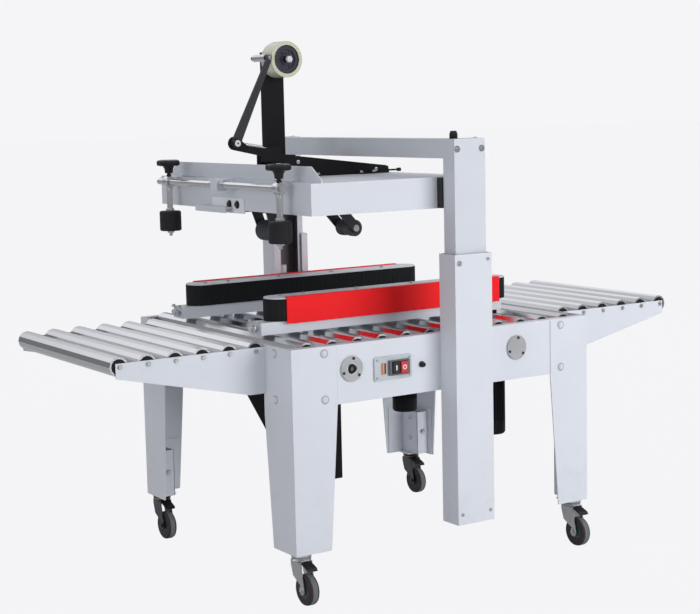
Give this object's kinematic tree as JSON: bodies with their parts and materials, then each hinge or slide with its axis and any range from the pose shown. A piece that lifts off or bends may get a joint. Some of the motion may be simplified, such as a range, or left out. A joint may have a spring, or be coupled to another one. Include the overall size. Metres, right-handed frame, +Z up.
{
  "type": "carton sealer machine",
  "caption": "Free-standing semi-automatic carton sealer with side drive belts, roller tables, a height-adjustable mast and upper and lower taping heads.",
  "frame": {"origin": "on the floor under the middle of the machine", "axes": "+X the way the cartons travel, -Y the control side, +Z up"},
  "size_m": [1.799, 0.976, 1.412],
  "materials": {
    "white_paint": "satin powder coat",
    "roller_steel": "galvanised, finely brushed",
    "zinc_plate": "bright zinc",
    "chrome": "polished",
    "black_paint": "satin black",
    "red_paint": "satin red",
    "belting": "matt, finely ribbed",
    "black_rubber": "matt",
    "wheel_rubber": "matt grey tread",
    "grey_plastic": "matt",
    "black_plastic": "gloss black",
    "red_plastic": "gloss",
    "tape": "clear film wound on a core"
  },
  "bodies": {
    "frame": {"side_panel_front": "white_paint", "leg_outer_front_infeed": "white_paint", "leg_outer_front_outfeed": "white_paint", "side_panel_rear": "white_paint", "leg_outer_rear_infeed": "white_paint", "leg_outer_rear_outfeed": "white_paint", "roller_bed": "roller_steel", "infeed_frame": "white_paint", "outfeed_frame": "white_paint", "column_sleeve_front": "white_paint", "column_sleeve_rear": "white_paint", "switch_box": "grey_plastic", "lower_tape_head": "black_paint"},
    "leg_front_infeed": {"leg_inner_front_infeed": "white_paint"},
    "fork_front_infeed": {"caster_fork_front_infeed": "zinc_plate"},
    "wheel_front_infeed": {"caster_wheel_front_infeed": "wheel_rubber"},
    "leg_front_outfeed": {"leg_inner_front_outfeed": "white_paint"},
    "fork_front_outfeed": {"caster_fork_front_outfeed": "zinc_plate"},
    "wheel_front_outfeed": {"caster_wheel_front_outfeed": "wheel_rubber"},
    "leg_rear_infeed": {"leg_inner_rear_infeed": "white_paint"},
    "fork_rear_infeed": {"caster_fork_rear_infeed": "zinc_plate"},
    "wheel_rear_infeed": {"caster_wheel_rear_infeed": "wheel_rubber"},
    "leg_rear_outfeed": {"leg_inner_rear_outfeed": "white_paint"},
    "fork_rear_outfeed": {"caster_fork_rear_outfeed": "zinc_plate"},
    "wheel_rear_outfeed": {"caster_wheel_rear_outfeed": "wheel_rubber"},
    "infeed_roller_1": {"infeed_roller_1": "roller_steel"},
    "infeed_roller_2": {"infeed_roller_2": "roller_steel"},
    "infeed_roller_3": {"infeed_roller_3": "roller_steel"},
    "infeed_roller_4": {"infeed_roller_4": "roller_steel"},
    "infeed_roller_5": {"infeed_roller_5": "roller_steel"},
    "infeed_roller_6": {"infeed_roller_6": "roller_steel"},
    "outfeed_roller_1": {"outfeed_roller_1": "roller_steel"},
    "outfeed_roller_2": {"outfeed_roller_2": "roller_steel"},
    "outfeed_roller_3": {"outfeed_roller_3": "roller_steel"},
    "outfeed_roller_4": {"outfeed_roller_4": "roller_steel"},
    "outfeed_roller_5": {"outfeed_roller_5": "roller_steel"},
    "outfeed_roller_6": {"outfeed_roller_6": "roller_steel"},
    "start_button": {"start_button": "black_plastic"},
    "stop_button": {"stop_button": "red_plastic"},
    "carriage_front": {"belt_carriage_front": "white_paint", "belt_front": "belting", "belt_cover_front": "red_paint", "drive_motor_front": "black_paint"},
    "carriage_rear": {"belt_carriage_rear": "white_paint", "belt_rear": "belting", "belt_cover_rear": "red_paint", "drive_motor_rear": "black_paint"},
    "width_screw": {"width_screw": "zinc_plate"},
    "mast": {"mast": "white_paint"},
    "head": {"head_frame": "white_paint", "upper_tape_head": "black_paint", "presser_tube": "chrome"},
    "tape_roll": {"tape_roll": "tape"},
    "tension_arm": {"tension_arm": "black_paint"},
    "applying_arm": {"applying_arm": "black_paint"},
    "wiping_arm": {"wiping_arm": "black_paint"},
    "presser_slider_front": {"presser_slider_front": "chrome"},
    "presser_roller_front": {"presser_roller_front": "black_rubber"},
    "presser_slider_rear": {"presser_slider_rear": "chrome"},
    "presser_roller_rear": {"presser_roller_rear": "black_rubber"}
  },
  "joints": [
    {"name": "leg_height_front_infeed", "type": "slide", "parent": "frame", "child": "leg_front_infeed", "axis": [0, 0, -1], "range_m": [0, 0.1]},
    {"name": "caster_swivel_front_infeed", "type": "hinge", "parent": "leg_front_infeed", "child": "fork_front_infeed", "pos_m": [-0.445, -0.39, 0.12], "axis": [0, 0, 1], "continuous": true},
    {"name": "caster_roll_front_infeed", "type": "hinge", "parent": "fork_front_infeed", "child": "wheel_front_infeed", "pos_m": [-0.445, -0.416, 0.04], "axis": [1, 0, 0], "continuous": true},
    {"name": "leg_height_front_outfeed", "type": "slide", "parent": "frame", "child": "leg_front_outfeed", "axis": [0, 0, -1], "range_m": [0, 0.1]},
    {"name": "caster_swivel_front_outfeed", "type": "hinge", "parent": "leg_front_outfeed", "child": "fork_front_outfeed", "pos_m": [0.445, -0.39, 0.12], "axis": [0, 0, 1], "continuous": true},
    {"name": "caster_roll_front_outfeed", "type": "hinge", "parent": "fork_front_outfeed", "child": "wheel_front_outfeed", "pos_m": [0.445, -0.416, 0.04], "axis": [1, 0, 0], "continuous": true},
    {"name": "leg_height_rear_infeed", "type": "slide", "parent": "frame", "child": "leg_rear_infeed", "axis": [0, 0, -1], "range_m": [0, 0.1]},
    {"name": "caster_swivel_rear_infeed", "type": "hinge", "parent": "leg_rear_infeed", "child": "fork_rear_infeed", "pos_m": [-0.445, 0.39, 0.12], "axis": [0, 0, 1], "continuous": true},
    {"name": "caster_roll_rear_infeed", "type": "hinge", "parent": "fork_rear_infeed", "child": "wheel_rear_infeed", "pos_m": [-0.445, 0.364, 0.04], "axis": [1, 0, 0], "continuous": true},
    {"name": "leg_height_rear_outfeed", "type": "slide", "parent": "frame", "child": "leg_rear_outfeed", "axis": [0, 0, -1], "range_m": [0, 0.1]},
    {"name": "caster_swivel_rear_outfeed", "type": "hinge", "parent": "leg_rear_outfeed", "child": "fork_rear_outfeed", "pos_m": [0.445, 0.39, 0.12], "axis": [0, 0, 1], "continuous": true},
    {"name": "caster_roll_rear_outfeed", "type": "hinge", "parent": "fork_rear_outfeed", "child": "wheel_rear_outfeed", "pos_m": [0.445, 0.364, 0.04], "axis": [1, 0, 0], "continuous": true},
    {"name": "infeed_roller_1_spin", "type": "hinge", "parent": "frame", "child": "infeed_roller_1", "pos_m": [-0.503, 0, 0.634], "axis": [0, 1, 0], "continuous": true},
    {"name": "infeed_roller_2_spin", "type": "hinge", "parent": "frame", "child": "infeed_roller_2", "pos_m": [-0.5774, 0, 0.634], "axis": [0, 1, 0], "continuous": true},
    {"name": "infeed_roller_3_spin", "type": "hinge", "parent": "frame", "child": "infeed_roller_3", "pos_m": [-0.6518, 0, 0.634], "axis": [0, 1, 0], "continuous": true},
    {"name": "infeed_roller_4_spin", "type": "hinge", "parent": "frame", "child": "infeed_roller_4", "pos_m": [-0.7262, 0, 0.634], "axis": [0, 1, 0], "continuous": true},
    {"name": "infeed_roller_5_spin", "type": "hinge", "parent": "frame", "child": "infeed_roller_5", "pos_m": [-0.8006, 0, 0.634], "axis": [0, 1, 0], "continuous": true},
    {"name": "infeed_roller_6_spin", "type": "hinge", "parent": "frame", "child": "infeed_roller_6", "pos_m": [-0.875, 0, 0.634], "axis": [0, 1, 0], "continuous": true},
    {"name": "outfeed_roller_1_spin", "type": "hinge", "parent": "frame", "child": "outfeed_roller_1", "pos_m": [0.503, 0, 0.634], "axis": [0, 1, 0], "continuous": true},
    {"name": "outfeed_roller_2_spin", "type": "hinge", "parent": "frame", "child": "outfeed_roller_2", "pos_m": [0.5774, 0, 0.634], "axis": [0, 1, 0], "continuous": true},
    {"name": "outfeed_roller_3_spin", "type": "hinge", "parent": "frame", "child": "outfeed_roller_3", "pos_m": [0.6518, 0, 0.634], "axis": [0, 1, 0], "continuous": true},
    {"name": "outfeed_roller_4_spin", "type": "hinge", "parent": "frame", "child": "outfeed_roller_4", "pos_m": [0.7262, 0, 0.634], "axis": [0, 1, 0], "continuous": true},
    {"name": "outfeed_roller_5_spin", "type": "hinge", "parent": "frame", "child": "outfeed_roller_5", "pos_m": [0.8006, 0, 0.634], "axis": [0, 1, 0], "continuous": true},
    {"name": "outfeed_roller_6_spin", "type": "hinge", "parent": "frame", "child": "outfeed_roller_6", "pos_m": [0.875, 0, 0.634], "axis": [0, 1, 0], "continuous": true},
    {"name": "start_button_press", "type": "slide", "parent": "frame", "child": "start_button", "axis": [0, 1, 0], "range_m": [0, 0.003], "stiffness_N_per_m": 500, "springref_m": -0.001},
    {"name": "stop_button_press", "type": "slide", "parent": "frame", "child": "stop_button", "axis": [0, 1, 0], "range_m": [0, 0.003], "stiffness_N_per_m": 500, "springref_m": -0.001},
    {"name": "belt_width_front", "type": "slide", "parent": "frame", "child": "carriage_front", "axis": [0, 1, 0], "range_m": [-0.075, 0.1]},
    {"name": "belt_width_rear", "type": "slide", "parent": "frame", "child": "carriage_rear", "axis": [0, 1, 0], "range_m": [-0.1, 0.075]},
    {"name": "width_screw_turn", "type": "hinge", "parent": "frame", "child": "width_screw", "pos_m": [-0.302, 0, 0.584], "axis": [0, 1, 0], "range_deg": [-1700, 2260]},
    {"name": "mast_height", "type": "slide", "parent": "frame", "child": "mast", "axis": [0, 0, 1], "range_m": [0, 0.12]},
    {"name": "head_height", "type": "slide", "parent": "mast", "child": "head", "axis": [0, 0, 1], "range_m": [-0.11, 0.01]},
    {"name": "tape_roll_spin", "type": "hinge", "parent": "head", "child": "tape_roll", "pos_m": [-0.231, 0, 1.364], "axis": [0, 1, 0], "continuous": true},
    {"name": "tension_arm_swing", "type": "hinge", "parent": "head", "child": "tension_arm", "pos_m": [-0.408, 0, 1.146], "axis": [0, 1, 0], "range_deg": [-25, 0], "stiffness_Nm_per_rad": 0.5, "springref_deg": 17.19},
    {"name": "applying_arm_swing", "type": "hinge", "parent": "head", "child": "applying_arm", "pos_m": [-0.316, 0, 1], "axis": [0, 1, 0], "range_deg": [-65, 0], "stiffness_Nm_per_rad": 2, "springref_deg": 17.19},
    {"name": "wiping_arm_swing", "type": "hinge", "parent": "head", "child": "wiping_arm", "pos_m": [-0.118, 0, 1], "axis": [0, 1, 0], "range_deg": [-65, 0]},
    {"name": "presser_slide_front", "type": "slide", "parent": "head", "child": "presser_slider_front", "axis": [0, 1, 0], "range_m": [-0.004, 0.26]},
    {"name": "presser_spin_front", "type": "hinge", "parent": "presser_slider_front", "child": "presser_roller_front", "pos_m": [-0.44, -0.323, 0.9295], "axis": [0, 0, 1], "continuous": true},
    {"name": "presser_slide_rear", "type": "slide", "parent": "head", "child": "presser_slider_rear", "axis": [0, 1, 0], "range_m": [-0.235, 0.047]},
    {"name": "presser_spin_rear", "type": "hinge", "parent": "presser_slider_rear", "child": "presser_roller_rear", "pos_m": [-0.44, 0.279, 0.9295], "axis": [0, 0, 1], "continuous": true}
  ],
  "couplings": [
    {"joint": "belt_width_rear", "follows": "belt_width_front", "ratio": -1},
    {"joint": "width_screw_turn", "follows": "belt_width_front", "rad_per_m": 392.7},
    {"joint": "wiping_arm_swing", "follows": "applying_arm_swing", "ratio": 1}
  ]
}
